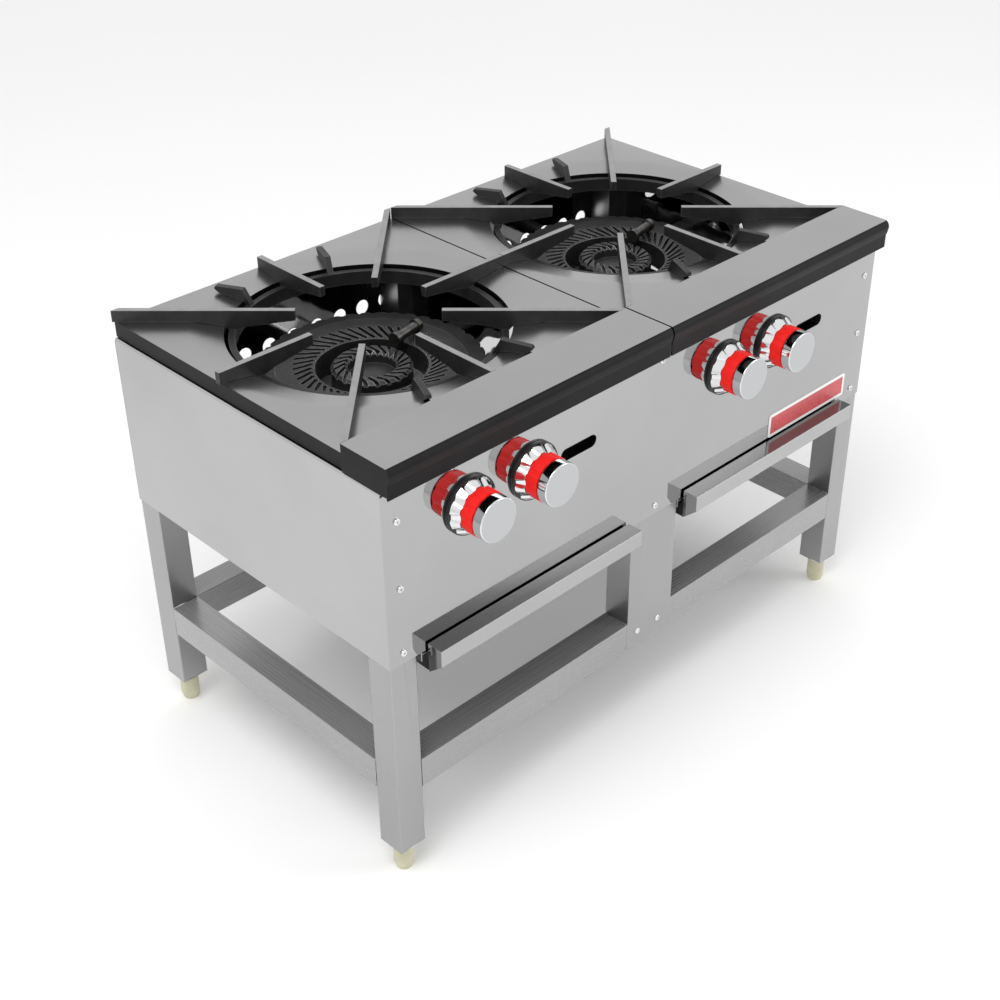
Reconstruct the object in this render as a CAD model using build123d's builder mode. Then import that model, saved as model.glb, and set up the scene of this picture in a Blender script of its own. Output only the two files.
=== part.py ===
from build123d import *
from math import cos, radians, sin
import os

# Two-burner gas stock pot range on a tube frame, in millimetres.
# +Z is up and the knobs face -Y. The origin is on the floor, under the middle of the range.

os.makedirs("parts", exist_ok=True)

# ---------------------------------------------------------------- driving dimensions
# Frame
body_width = 914
body_depth = 508
foot_height = 45.5
foot_radius = 13
foot_tip_radius = 10
foot_plug_length = 22
foot_plug_gap = 0.25
leg_length = 530
leg_size = 40
tube_wall = 1.5
rail_clear = 88  # from a leg's lower end up to the low rails
rail_height = 44
post_width = 89
post_x = 1.5
rear_post_width = 56

# Sheet panels
skin = 1.0
panel_height = 236
panel_flange = 11
panel_bend = 3  # outer bend radius along a side panel's top
side_flange = 7.5
vent_radius = 11
vent_pitch = 41.3
vent_count = 20
vent_drop = 92  # below the top of the legs
hole_gap = 0.3  # around a pipe that passes through a panel
lighting_slot_length = 62
lighting_slot_height = 17
lighting_slot_drop = 71
lighting_slot_shift = 80  # to the right of each burner's middle
label_width = 178
label_height = 36
label_from_side = 40.5  # between the label's right end and the body's right face
label_rise = 13  # above the panels' lower edges
label_corner = 4

# Top plates
seat_height = 24  # bar frame and its pads, under the two plates
seat_bar = 20
seat_pad = 6
seat_pad_shift = 140  # from a burner's middle
seat_bridge = 22
seat_inset = 8
seam_gap = 2.5
plate_sheet = 2
deck_inset = 4
side_apron = 21
apron_gap = 1  # between an apron and the side panel below it
ledge_rise = 15.5
ledge_depth = 62
nose_lip = 10.5
nose_reach = 16.3
nose_drop = 11.5
roll_drop = 21.5
front_apron_out = 13.5
front_apron_height = 39.5
dish_radius = 220
dish_drop = 6
well_radius = 179
well_flange = 7

# Grates
grate_height = 15.5  # above the deck
grate_bar = 8
grate_arm_count = 8
grate_tip_gap = 0.5
grate_eye_radius = 91
grate_eye_depth = 13.5
grate_ring_gap = 5  # between the ring and the well
grate_ring_height = 18
grate_ring_sink = 10  # ring's top, below the deck
dish_clearance = 0.5
lug_angles = (67.5, 112.5, 247.5, 292.5)
lug_radius = 221
lug_height = 11

# Burners
burner_drop = 70  # from the top of the legs down to the burners' seats
support_bar_width = 25
support_bar_thick = 5
support_bar_y = 55
ring_radius = 147
ring_step_radius = 124
ring_crest_radius = 98
ring_bore = 72
ring_height = 38
ring_fall = 5  # from the crest down to the bore
hub_radius = 52
hub_bowl_radius = 31
hub_height = 36
casting_wall = 8
port_width = 4.8
port_depth = 6
port_slant = 40
ring_port_count = 46
hub_port_count = 22
flute_radius = 5.5
flute_count = 44
pilot_radius = 4
pilot_angle = 12
pilot_arm_length = 44
pilot_arm_radius = 7
pilot_tube_radius = 3
pilot_bend = 20

# Gas train
mixer_radius = 14
mixer_bore = 12
mixer_bar_gap = 2
mixer_mouth = 96  # behind the front face
riser_radius = 16
ring_riser_back = 15
hub_riser_back = 25
shutter_wall = 2
shutter_length = 18
shutter_gap = 0.3
air_window_height = 12
air_window_length = 12
manifold_radius = 13.35
manifold_drop = 126  # below the top of the legs
manifold_back = 58  # behind the front face
manifold_from_side = 69  # between the manifold's end and the body's right face
valve_width = 24
valve_depth = 44
valve_height = 53
nipple_radius = 8
spud_radius = 5
spud_length = 12
inlet_coupling_radius = 17.5
inlet_thread_radius = 13.2
inlet_thread_length = 22
inlet_coupling_length = 34

# Knobs
knob_reach = 48
knob_radius = 28
knob_band_radius = 28.5
knob_core_radius = 24
knob_neck_radius = 23
knob_pitch = 102
knob_drop = 67  # below the top of the legs
knob_pair_shift = 49  # to the left of each burner's middle
knob_lobes = 10
grip_radius = 36
grip_lobe_radius = 8
grip_lobe_depth = 2.5
grip_taper = 30
band_lobe_radius = 9
band_lobe_depth = 1.2
bezel_radius = 37.5
bezel_thick = 5
bezel_gap = 0.5
grip_length = 10
band_length = 17
neck_length = 2.5
stem_radius = 4
stem_fit = 0.05
stem_hole_radius = 7
stem_knob_depth = 32
stem_valve_depth = 28

# Drip trays
tray_hang = 32  # tray floor, below the panels' lower edges
tray_height = 29.5
tray_runner_gap = 10  # between a tray's side and a runner's outer face
tray_length = 473.5
tray_sheet = 1.2
tray_rim = 8
runner_post_gap = 2
runner_leg_gap = 4  # at the right leg
runner_sheet = 1.5
runner_ledge = 9
runner_drop = 10
runner_rise = 25
handle_overhang = 2  # past each side of its tray
handle_rise = 10.5  # top, above the panels' lower edges
handle_gap = 2.5
handle_depth = 23
handle_face = 23
handle_sheet = 1.5

# Screws
screw_head_radius = 4.5
screw_head_height = 2.2
screw_radius = 2
screw_length = 6
screw_fit = 0.05
leg_screw_drop = 39.5
leg_screw_pitch = 90.5
leg_screw_count = 3
post_screw_top = 8.3
post_screw_bottom = 223
post_foot_screw_rise = 24
post_foot_screw_pitch = 41
post_foot_screw_shift = 4  # to the left of the post's middle

# ---------------------------------------------------------------- shared levels and places
half_width = body_width / 2
y_front = (knob_reach - body_depth) / 2
y_back = y_front + body_depth
leg_bottom = foot_height
leg_top = leg_bottom + leg_length
rail_bottom = leg_bottom + rail_clear
rail_top = rail_bottom + rail_height
panel_bottom = leg_top - panel_height
plate_seat = leg_top + seat_height
deck_top = plate_seat + plate_sheet
ledge_top = deck_top + ledge_rise
apron_bottom = deck_top - side_apron
grate_top = deck_top + grate_height
deck_front = y_front + ledge_depth
burner_x = body_width / 4
knob_pair_x = (-burner_x - knob_pair_shift, burner_x - knob_pair_shift)
burner_y = (deck_front + y_back) / 2
burner_base = leg_top - burner_drop
bar_bottom = burner_base - support_bar_thick
mixer_z = bar_bottom - mixer_bar_gap - mixer_radius
manifold_z = leg_top - manifold_drop
manifold_y = y_front + manifold_back
valve_front = manifold_y - valve_depth / 2
valve_back = manifold_y + valve_depth / 2
knob_z = leg_top - knob_drop
valve_top = knob_z + nipple_radius + 2 * stem_radius
valve_bottom = valve_top - valve_height
tray_bottom = panel_bottom - tray_hang
tray_top = tray_bottom + tray_height
runner_seat = tray_top - tray_sheet
leg_in = skin + leg_size  # from a body face to a leg's inner face
leg_x = half_width - skin - leg_size / 2
post_left = post_x - post_width / 2
post_right = post_x + post_width / 2
runner_span = half_width - leg_in - runner_leg_gap - post_right - runner_post_gap  # between a pair's outer faces
tray_x = (post_left - runner_post_gap - runner_span / 2, post_right + runner_post_gap + runner_span / 2)
tray_width = runner_span - 2 * tray_runner_gap
handle_width = tray_width + 2 * handle_overhang
label_x = half_width - label_from_side - label_width / 2
leg_front_y = y_front + skin + leg_size / 2
leg_back_y = y_back - skin - leg_size / 2
manifold_end_x = half_width - manifold_from_side
inlet_x = manifold_end_x - 2 * manifold_radius
ring_riser_y = burner_y - ring_riser_back
hub_riser_y = burner_y - hub_riser_back

knob_x = {
    "left_outer": knob_pair_x[0] - knob_pitch / 2,
    "left_inner": knob_pair_x[0] + knob_pitch / 2,
    "right_outer": knob_pair_x[1] - knob_pitch / 2,
    "right_inner": knob_pair_x[1] + knob_pitch / 2,
}
sides = {"left": -1, "right": 1}

# Local X is the range's X and local Y is up; the plane's face looks out to the cook.
front_plane = Plane(origin=(0, y_front, 0), x_dir=(1, 0, 0), z_dir=(0, -1, 0))
back_plane = Plane(origin=(0, y_back, 0), x_dir=(1, 0, 0), z_dir=(0, -1, 0))

leg_screw_z = [leg_top - leg_screw_drop - i * leg_screw_pitch for i in range(leg_screw_count)]
post_screw_points = [
    (0, leg_top - post_screw_top),
    (0, leg_top - post_screw_bottom),
    (post_x - post_foot_screw_shift - post_foot_screw_pitch / 2, rail_bottom + post_foot_screw_rise),
    (post_x - post_foot_screw_shift + post_foot_screw_pitch / 2, rail_bottom + post_foot_screw_rise),
]
leg_screw_points = [(side * leg_x, z) for side in (-1, 1) for z in leg_screw_z]


# ---------------------------------------------------------------- helpers
def save(piece, name):
    """Name a finished piece and write its file."""
    piece.part.label = name
    export_step(piece.part, f"parts/{name}.step")


def block(x, y, z, mode=Mode.ADD):
    """A box between two limits on each axis."""
    middle = [(low + high) / 2 for low, high in (x, y, z)]
    size = [high - low for low, high in (x, y, z)]
    with Locations(tuple(middle)):
        Box(*size, mode=mode)


def tube(x, y, z, along, wall):
    """A rectangular tube between two limits on each axis, open at its ends along one axis."""
    block(x, y, z)
    limits = []
    for name, (low, high) in zip("xyz", (x, y, z)):
        inset = 0 if name == along else wall
        limits.append((low + inset, high - inset))
    block(*limits, mode=Mode.SUBTRACT)


def screw_holes(points, depth):
    """Holes for the panel screws, from the front face inwards."""
    with BuildSketch(front_plane) as holes:
        with Locations(*points):
            Circle(screw_radius + screw_fit)
    extrude(holes.sketch, amount=-depth, mode=Mode.SUBTRACT)


def radial_plane(x, angle):
    """A plane that stands on a burner's axis: local X points outwards, local Y is up."""
    c, s = cos(radians(angle)), sin(radians(angle))
    return Plane(origin=(x, burner_y, 0), x_dir=(c, s, 0), z_dir=(s, -c, 0))


# ---------------------------------------------------------------- legs and feet
for end, leg_y in (("front", leg_front_y), ("rear", leg_back_y)):
    for side_name, side in sides.items():
        x = side * leg_x
        half = leg_size / 2
        with BuildPart() as leg:
            tube((x - half, x + half), (leg_y - half, leg_y + half), (leg_bottom, leg_top), "z", tube_wall)
            if end == "front":
                screw_holes([(x, z) for z in leg_screw_z], skin + 2 * tube_wall)
        save(leg, f"leg_{end}_{side_name}")

plug_size = leg_size - 2 * tube_wall - 2 * foot_plug_gap
with BuildPart() as feet:
    with Locations(*[(s * leg_x, y) for s in (-1, 1) for y in (leg_front_y, leg_back_y)]):
        Cylinder(foot_radius, foot_height, align=(Align.CENTER, Align.CENTER, Align.MIN))
        with Locations((0, 0, foot_height)):
            Box(plug_size, plug_size, foot_plug_length, align=(Align.CENTER, Align.CENTER, Align.MIN))
    tips = feet.edges().group_by(Axis.Z)[0]
    chamfer(tips, length=foot_height / 5, length2=foot_radius - foot_tip_radius)
save(feet, "feet")

# ---------------------------------------------------------------- low rails
rail_span_y = (y_front + leg_in, y_back - leg_in)
for side_name, side in sides.items():
    outer = side * (half_width - skin)
    inner = side * (half_width - leg_in)
    with BuildPart() as rail:
        tube(tuple(sorted((outer, inner))), rail_span_y, (rail_bottom, rail_top), "y", tube_wall)
    save(rail, f"rail_{side_name}")

with BuildPart() as rail_rear:
    tube(
        (leg_in - half_width, half_width - leg_in),
        (y_back - leg_in, y_back - skin),
        (rail_bottom, rail_top),
        "x",
        tube_wall,
    )
save(rail_rear, "rail_rear")

front_tube_y = (y_front + skin, y_front + leg_in)
front_rail_spans = {
    "left": (leg_in - half_width, post_left),
    "right": (post_right, half_width - leg_in),
}
for side_name, span in front_rail_spans.items():
    with BuildPart() as rail_front:
        tube(span, front_tube_y, (rail_bottom, rail_top), "x", tube_wall)
    save(rail_front, f"rail_front_{side_name}")

# ---------------------------------------------------------------- middle posts
with BuildPart() as post_middle:
    tube((post_left, post_right), front_tube_y, (rail_bottom, leg_top), "z", tube_wall)
    screw_holes(post_screw_points, skin + 2 * tube_wall)
save(post_middle, "post_middle")

rear_tube_y = (y_back - leg_in, y_back - skin)
with BuildPart() as post_rear:
    tube((-rear_post_width / 2, rear_post_width / 2), rear_tube_y, (panel_bottom, leg_top), "z", tube_wall)
save(post_rear, "post_rear")

# ---------------------------------------------------------------- sheet panels
with BuildPart() as front_panel:
    block((-half_width, half_width), (y_front, y_front + skin), (panel_bottom, leg_top))
    block((panel_flange - half_width, half_width - panel_flange), (y_front, y_front + skin),
          (leg_top, leg_top + panel_flange))
    with BuildSketch(front_plane):
        with Locations(*[(x, knob_z) for x in knob_x.values()]):
            Circle(stem_hole_radius)
        with Locations(*[(s * burner_x + lighting_slot_shift, leg_top - lighting_slot_drop) for s in (-1, 1)]):
            SlotOverall(lighting_slot_length, lighting_slot_height)
    extrude(amount=-skin, mode=Mode.SUBTRACT)
    screw_holes(leg_screw_points + post_screw_points[:2], skin)
save(front_panel, "front_panel")

side_top = apron_bottom - apron_gap
bend_in = panel_bend - skin
for side_name, side in sides.items():
    x_out = side * half_width
    x_in = side * (half_width - skin)
    x_bend = side * (half_width - panel_bend)
    x_flange = side * (half_width - side_flange)
    mid_out = (side * (half_width - panel_bend * (1 - sin(radians(45)))),
               side_top - panel_bend * (1 - sin(radians(45))))
    mid_in = (side * (half_width - panel_bend + bend_in * sin(radians(45))),
              side_top - panel_bend + bend_in * sin(radians(45)))
    with BuildPart() as side_panel:
        with BuildSketch(Plane(origin=(0, y_front + skin, 0), x_dir=(1, 0, 0), z_dir=(0, -1, 0))):
            with BuildLine():
                Polyline((x_bend, side_top - skin), (x_flange, side_top - skin), (x_flange, side_top),
                         (x_bend, side_top))
                ThreePointArc((x_bend, side_top), mid_out, (x_out, side_top - panel_bend))
                Polyline((x_out, side_top - panel_bend), (x_out, panel_bottom), (x_in, panel_bottom),
                         (x_in, side_top - panel_bend))
                ThreePointArc((x_in, side_top - panel_bend), mid_in, (x_bend, side_top - skin))
            make_face()
        extrude(amount=-(body_depth - 2 * skin))
    save(side_panel, f"side_panel_{side_name}")

with BuildPart() as back_panel:
    block((-half_width, half_width), (y_back - skin, y_back), (panel_bottom, leg_top))
    with BuildSketch(back_plane):
        with Locations((0, leg_top - vent_drop)):
            with GridLocations(vent_pitch, 1, vent_count, 1):
                Circle(vent_radius)
        with Locations((inlet_x, manifold_z)):
            Circle(inlet_coupling_radius + hole_gap)
    extrude(amount=skin, mode=Mode.SUBTRACT)
save(back_panel, "back_panel")

divider_bottom = runner_seat - runner_drop
with BuildPart() as divider_panel:
    block((-tube_wall / 2, tube_wall / 2), (y_front + leg_in, y_back - leg_in), (divider_bottom, leg_top))
    with BuildSketch(Plane.YZ.offset(-tube_wall)):
        with Locations((manifold_y, manifold_z)):
            Circle(manifold_radius + hole_gap)
    extrude(amount=2 * tube_wall, mode=Mode.SUBTRACT)
save(divider_panel, "divider_panel")

with BuildPart() as label_plate:
    with BuildSketch(front_plane):
        with Locations((label_x, panel_bottom + label_rise + label_height / 2)):
            RectangleRounded(label_width, label_height, label_corner)
    extrude(amount=skin)
save(label_plate, "label_plate")

with BuildPart() as panel_screws:
    with BuildSketch(front_plane):
        with Locations(*(leg_screw_points + post_screw_points[:2])):
            Circle(screw_head_radius)
    extrude(amount=screw_head_height)
    with BuildSketch(front_plane.offset(-skin)):
        with Locations(*post_screw_points[2:]):
            Circle(screw_head_radius)
    extrude(amount=screw_head_height)
    rims = panel_screws.edges().filter_by(GeomType.CIRCLE).filter_by(
        lambda edge: edge.center().Y < y_front - screw_head_height / 3)
    fillet(rims, screw_head_height / 2)
    with BuildSketch(front_plane.offset(screw_head_height)):
        with Locations(*(leg_screw_points + post_screw_points)):
            RegularPolygon(screw_radius, 6)
    extrude(amount=-1.5 * screw_head_height / 2, mode=Mode.SUBTRACT)
    with BuildSketch(front_plane):
        with Locations(*(leg_screw_points + post_screw_points[:2])):
            Circle(screw_radius)
    extrude(amount=-screw_length)
    with BuildSketch(front_plane.offset(-skin)):
        with Locations(*post_screw_points[2:]):
            Circle(screw_radius)
    extrude(amount=-screw_length)
save(panel_screws, "panel_screws")

# ---------------------------------------------------------------- bar frame under the top plates
seat_x = half_width - seat_inset
seat_front = y_front + seat_inset / 2
seat_back = y_back - seat_inset / 2
bar_top = plate_seat - seat_pad
with BuildPart() as plate_frame:
    block((-seat_x, seat_x), (seat_front, seat_back), (leg_top, bar_top))
    for side in (-1, 1):
        opening = sorted((side * seat_bridge / 2, side * (seat_x - seat_bar)))
        block(tuple(opening), (seat_front + seat_bar, seat_back - seat_bar),
              (leg_top, bar_top), mode=Mode.SUBTRACT)
save(plate_frame, "plate_frame")

# The pads hold the plates clear of the bars, so the dishes have room.
rear_pads = [(side * burner_x + shift, seat_back - seat_bar / 2, bar_top)
             for side in (-1, 1) for shift in (-seat_pad_shift, seat_pad_shift)]
side_pads = [(side * (seat_x - seat_bar / 2), burner_y + shift, bar_top)
             for side in (-1, 0, 1) for shift in (-seat_pad_shift, seat_pad_shift)]
with BuildPart() as plate_pads:
    with Locations(*(rear_pads + side_pads)):
        Box(seat_bar, seat_bar, seat_pad, align=(Align.CENTER, Align.CENTER, Align.MIN))
save(plate_pads, "plate_pads")

# ---------------------------------------------------------------- top plates
module_width = (body_width - seam_gap) / 2
apron_end = ledge_top - front_apron_height
nose_points = {
    "lip": (y_front - nose_lip, ledge_top),
    "swell": (y_front - (nose_lip + 4 * nose_reach) / 5, ledge_top - nose_drop / 3),
    "reach": (y_front - nose_reach, ledge_top - nose_drop),
    "tuck": (y_front - (2 * nose_reach + front_apron_out) / 3, ledge_top - (nose_drop + roll_drop) / 2),
    "fall": (y_front - front_apron_out, ledge_top - roll_drop),
}


def nose(bottom):
    """The rolled front edge of the ledge, from the apron's lower end up to the lip."""
    Line((y_front - front_apron_out, bottom), nose_points["fall"])
    ThreePointArc(nose_points["fall"], nose_points["tuck"], nose_points["reach"])
    ThreePointArc(nose_points["reach"], nose_points["swell"], nose_points["lip"])


for side_name, side in sides.items():
    edge_plane = Plane.YZ.offset(side * half_width)
    deck_plane = Plane.YZ.offset(side * (half_width - deck_inset))
    dish_plane = Plane(origin=(side * burner_x, burner_y, 0), x_dir=(1, 0, 0), z_dir=(0, -1, 0))
    under = ledge_top - plate_sheet
    with BuildPart() as top_plate:
        with BuildSketch(edge_plane):
            with BuildLine():
                nose(apron_end)
                Polyline(
                    nose_points["lip"],
                    (deck_front, ledge_top),
                    (deck_front, plate_seat),
                    (deck_front - plate_sheet, plate_seat),
                    (deck_front - plate_sheet, under),
                    (y_front - front_apron_out + plate_sheet, under),
                    (y_front - front_apron_out + plate_sheet, apron_end),
                    (y_front - front_apron_out, apron_end),
                )
            make_face()
        extrude(amount=-side * module_width)
        with BuildSketch(edge_plane):
            with BuildLine():
                nose(apron_bottom)
                Polyline(
                    nose_points["lip"],
                    (deck_front, ledge_top),
                    (deck_front, apron_bottom),
                    (y_front - front_apron_out, apron_bottom),
                )
            make_face()
        extrude(amount=-side * plate_sheet)
        with BuildSketch(deck_plane):
            with BuildLine():
                Polyline(
                    (deck_front - plate_sheet, deck_top),
                    (y_back, deck_top),
                    (y_back, apron_bottom),
                    (y_back - plate_sheet, apron_bottom),
                    (y_back - plate_sheet, plate_seat),
                    (deck_front - plate_sheet, plate_seat),
                    close=True,
                )
            make_face()
        extrude(amount=-side * (module_width - deck_inset))
        x_apron = sorted((side * (half_width - deck_inset), side * (half_width - deck_inset - plate_sheet)))
        block(tuple(x_apron), (deck_front, y_back), (apron_bottom, deck_top))
        with BuildSketch(Plane.XY.offset(plate_seat)):
            with Locations((side * burner_x, burner_y)):
                Circle(dish_radius)
        extrude(amount=plate_sheet, mode=Mode.SUBTRACT)
        with BuildSketch(dish_plane) as dish_section:
            with BuildLine():
                Polyline(
                    (dish_radius, deck_top),
                    (well_radius, deck_top - dish_drop),
                    (well_radius, deck_top - dish_drop - well_flange),
                    (well_radius + plate_sheet, deck_top - dish_drop - well_flange),
                    (well_radius + plate_sheet, deck_top - dish_drop - plate_sheet),
                    (dish_radius, plate_seat),
                    close=True,
                )
            make_face()
        revolve(axis=Axis((side * burner_x, burner_y, 0), (0, 0, 1)))
    save(top_plate, f"top_plate_{side_name}")

# ---------------------------------------------------------------- grates
ring_top = deck_top - grate_ring_sink
ring_out = well_radius - grate_ring_gap
ring_in = ring_out - grate_bar
dish_slope = dish_drop / (dish_radius - well_radius)
clip_x = burner_x - grate_tip_gap
clip_y = (y_back - deck_front) / 2 - grate_tip_gap


def above_dish(radius):
    """Height of a casting's underside where it hangs over the dish."""
    return deck_top - dish_slope * (dish_radius - radius) + dish_clearance


for side_name, side in sides.items():
    x = side * burner_x
    with BuildPart() as grate:
        for i in range(grate_arm_count):
            with BuildSketch(radial_plane(x, i * 360 / grate_arm_count)):
                with BuildLine():
                    Polyline(
                        (grate_eye_radius, grate_top),
                        (1.5 * burner_x, grate_top),
                        (1.5 * burner_x, deck_top),
                        (dish_radius - dish_clearance / dish_slope, deck_top),
                        (well_radius, above_dish(well_radius)),
                        (ring_out, ring_top - 1),
                        (ring_in, ring_top - 1),
                        (ring_in - 2 * grate_bar, ring_top + grate_bar / 2),
                        (grate_eye_radius, grate_top - grate_eye_depth),
                        close=True,
                    )
                make_face()
            extrude(amount=grate_bar / 2, both=True)
        with Locations((x, burner_y, grate_top)):
            Box(2 * clip_x, 2 * clip_y, 4 * ring_out, mode=Mode.INTERSECT)
        for angle in lug_angles:
            with BuildSketch(radial_plane(x, angle)):
                with BuildLine():
                    Polyline(
                        (lug_radius, deck_top + lug_height / 2),
                        (lug_radius - 2, deck_top + lug_height - 2),
                        (well_radius, deck_top + lug_height),
                        (ring_in + 1, ring_top - 1),
                        (ring_in + 1, ring_top - grate_bar),
                        (ring_out, ring_top - grate_bar),
                        (well_radius - 2, above_dish(well_radius) - 1),
                        (well_radius, above_dish(well_radius)),
                        (dish_radius - 2 * grate_bar, above_dish(dish_radius - 2 * grate_bar)),
                    )
                    ThreePointArc(
                        (dish_radius - 2 * grate_bar, above_dish(dish_radius - 2 * grate_bar)),
                        (lug_radius - grate_bar / 2, deck_top + lug_height / 6),
                        (lug_radius, deck_top + lug_height / 2),
                    )
                make_face()
            extrude(amount=grate_bar / 2, both=True)
        with BuildSketch(Plane.XY.offset(ring_top - grate_ring_height)):
            with Locations((x, burner_y)):
                Circle(ring_out)
                Circle(ring_in, mode=Mode.SUBTRACT)
        extrude(amount=grate_ring_height)
    save(grate, f"grate_{side_name}")

# ---------------------------------------------------------------- burner bars
bar_reach = half_width - skin
with BuildPart() as burner_bars:
    for side in (-1, 1):
        for offset_y in (-support_bar_y, support_bar_y):
            middle = burner_y + offset_y
            span = sorted((side * tube_wall / 2, side * bar_reach))
            block(tuple(span), (middle - support_bar_width / 2, middle + support_bar_width / 2),
                  (bar_bottom, burner_base))
save(burner_bars, "burner_bars")

# ---------------------------------------------------------------- burner castings
ring_crown = burner_base + ring_height
ring_flat = ring_bore + casting_wall
groove = casting_wall / 4
hub_crown = burner_base + hub_height
for pair, (side_name, side) in enumerate(sides.items()):
    x = side * burner_x
    section_plane = radial_plane(x, 0)
    axis = Axis((x, burner_y, 0), (0, 0, 1))
    ring_riser_x = knob_pair_x[pair] - knob_pitch / 2
    hub_riser_x = knob_pair_x[pair] + knob_pitch / 2

    with BuildPart() as ring_casting:
        with BuildSketch(section_plane):
            with BuildLine():
                Polyline(
                    (ring_radius, burner_base + casting_wall / 2),
                    (ring_radius - casting_wall / 2, burner_base),
                    (ring_bore, burner_base),
                    (ring_bore, ring_crown - ring_fall),
                    (ring_crest_radius, ring_crown),
                    (ring_step_radius - groove, ring_crown),
                    (ring_step_radius - groove, ring_crown - groove),
                    (ring_step_radius, ring_crown - groove),
                )
                ThreePointArc(
                    (ring_step_radius, ring_crown - groove),
                    ((ring_step_radius + ring_radius) / 2 + groove, ring_crown - 1.6 * groove),
                    (ring_radius, ring_crown - casting_wall / 2),
                )
                Line((ring_radius, ring_crown - casting_wall / 2), (ring_radius, burner_base + casting_wall / 2))
            make_face()
            with BuildLine():
                Polyline(
                    (ring_flat, burner_base + casting_wall),
                    (ring_flat, ring_crown - ring_fall - casting_wall),
                    (ring_crest_radius + casting_wall / 2, ring_crown - 1.5 * casting_wall),
                    (ring_radius - 1.5 * casting_wall, ring_crown - 1.5 * casting_wall),
                    (ring_radius - 1.5 * casting_wall, burner_base + casting_wall),
                    close=True,
                )
            make_face(mode=Mode.SUBTRACT)
        revolve(axis=axis)
        with BuildSketch(Plane.XY.offset(ring_crown)):
            with Locations((x, burner_y)):
                with PolarLocations((ring_bore + ring_crest_radius) / 2 + casting_wall / 4, ring_port_count):
                    Rectangle(1.25 * (ring_crest_radius - ring_bore), port_width, rotation=port_slant)
        extrude(amount=-port_depth - ring_fall / 2, mode=Mode.SUBTRACT)
        with BuildSketch(Plane.XY.offset(burner_base + casting_wall)):
            with Locations((x, burner_y)):
                with PolarLocations(ring_radius + flute_radius / 3, flute_count):
                    Circle(flute_radius)
        extrude(amount=ring_height, mode=Mode.SUBTRACT)
        with BuildSketch(Plane.XY.offset(burner_base)):
            with Locations((ring_riser_x, ring_riser_y)):
                Circle(mixer_bore)
        extrude(amount=1.5 * casting_wall, mode=Mode.SUBTRACT)
    save(ring_casting, f"burner_ring_{side_name}")

    with BuildPart() as hub_casting:
        with BuildSketch(section_plane):
            with BuildLine():
                Polyline(
                    (0, burner_base),
                    (hub_radius, burner_base),
                    (hub_radius, hub_crown - casting_wall / 2),
                    (hub_radius - casting_wall / 2, hub_crown),
                    (hub_bowl_radius + casting_wall / 2, hub_crown),
                    (hub_bowl_radius, hub_crown - casting_wall / 2),
                    (hub_bowl_radius, hub_crown - 2 * casting_wall),
                    (hub_bowl_radius / 2, hub_crown - 1.7 * casting_wall),
                    (0, hub_crown - 1.5 * casting_wall),
                    close=True,
                )
            make_face()
        revolve(axis=axis)
        with BuildSketch(Plane.XY.offset(hub_crown)):
            with Locations((x, burner_y)):
                with PolarLocations((hub_radius + hub_bowl_radius) / 2, hub_port_count):
                    Rectangle(1.3 * (hub_radius - hub_bowl_radius), port_width, rotation=port_slant)
        extrude(amount=-port_depth, mode=Mode.SUBTRACT)
        with BuildSketch(Plane.XY.offset(burner_base)):
            with Locations((hub_riser_x, hub_riser_y)):
                Circle(mixer_bore)
        extrude(amount=casting_wall, mode=Mode.SUBTRACT)
    save(hub_casting, f"burner_hub_{side_name}")

    # A pilot stands in the gap between the two castings, on a tab from the rear bar.
    pilot_ring = (hub_radius + ring_bore) / 2
    pilot_x = x + pilot_ring * cos(radians(pilot_angle))
    pilot_y = burner_y + pilot_ring * sin(radians(pilot_angle))
    with BuildPart() as pilot_burner:
        with Locations((pilot_x, pilot_y, bar_bottom)):
            Cylinder(pilot_radius, ring_height + support_bar_thick + 2 * pilot_radius,
                     align=(Align.CENTER, Align.CENTER, Align.MIN))
        block((pilot_x - pilot_radius, pilot_x + pilot_radius),
              (pilot_y, burner_y + support_bar_y - support_bar_width / 2),
              (bar_bottom, bar_bottom + support_bar_thick / 2))
        arm_z = ring_crown + 1.5 * pilot_arm_radius
        arm_x = pilot_x + pilot_arm_length / 4 * cos(radians(pilot_angle))
        arm_y = pilot_y + pilot_arm_length / 4 * sin(radians(pilot_angle))
        arm_plane = Plane(origin=(arm_x, arm_y, arm_z),
                          x_dir=(-sin(radians(pilot_angle)), cos(radians(pilot_angle)), 0),
                          z_dir=(cos(radians(pilot_angle)), sin(radians(pilot_angle)), 0))
        with BuildSketch(arm_plane):
            Circle(pilot_arm_radius)
        extrude(amount=pilot_arm_length / 2, both=True)
        for end in (-1, 1):
            with BuildSketch(arm_plane.offset(end * pilot_arm_length / 2)):
                Circle(1.3 * pilot_arm_radius)
            extrude(amount=pilot_arm_radius / 2, both=True)
    save(pilot_burner, f"pilot_burner_{side_name}")

# ---------------------------------------------------------------- pilot tubes
with BuildPart() as pilot_tubes:
    for side in (-1, 1):
        pilot_x = side * burner_x + (hub_radius + ring_bore) / 2 * cos(radians(pilot_angle))
        pilot_y = burner_y + (hub_radius + ring_bore) / 2 * sin(radians(pilot_angle))
        with BuildLine() as route:
            FilletPolyline(
                (pilot_x, manifold_y, manifold_z),
                (pilot_x, pilot_y, manifold_z),
                (pilot_x, pilot_y, bar_bottom),
                radius=pilot_bend,
            )
        with BuildSketch(Plane(origin=route.line @ 0, z_dir=route.line % 0)):
            Circle(pilot_tube_radius)
        sweep(path=route.line)
    with Locations(Location((0, manifold_y, manifold_z), (0, 90, 0))):
        Cylinder(manifold_radius, body_width, mode=Mode.SUBTRACT)
save(pilot_tubes, "pilot_tubes")

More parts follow.
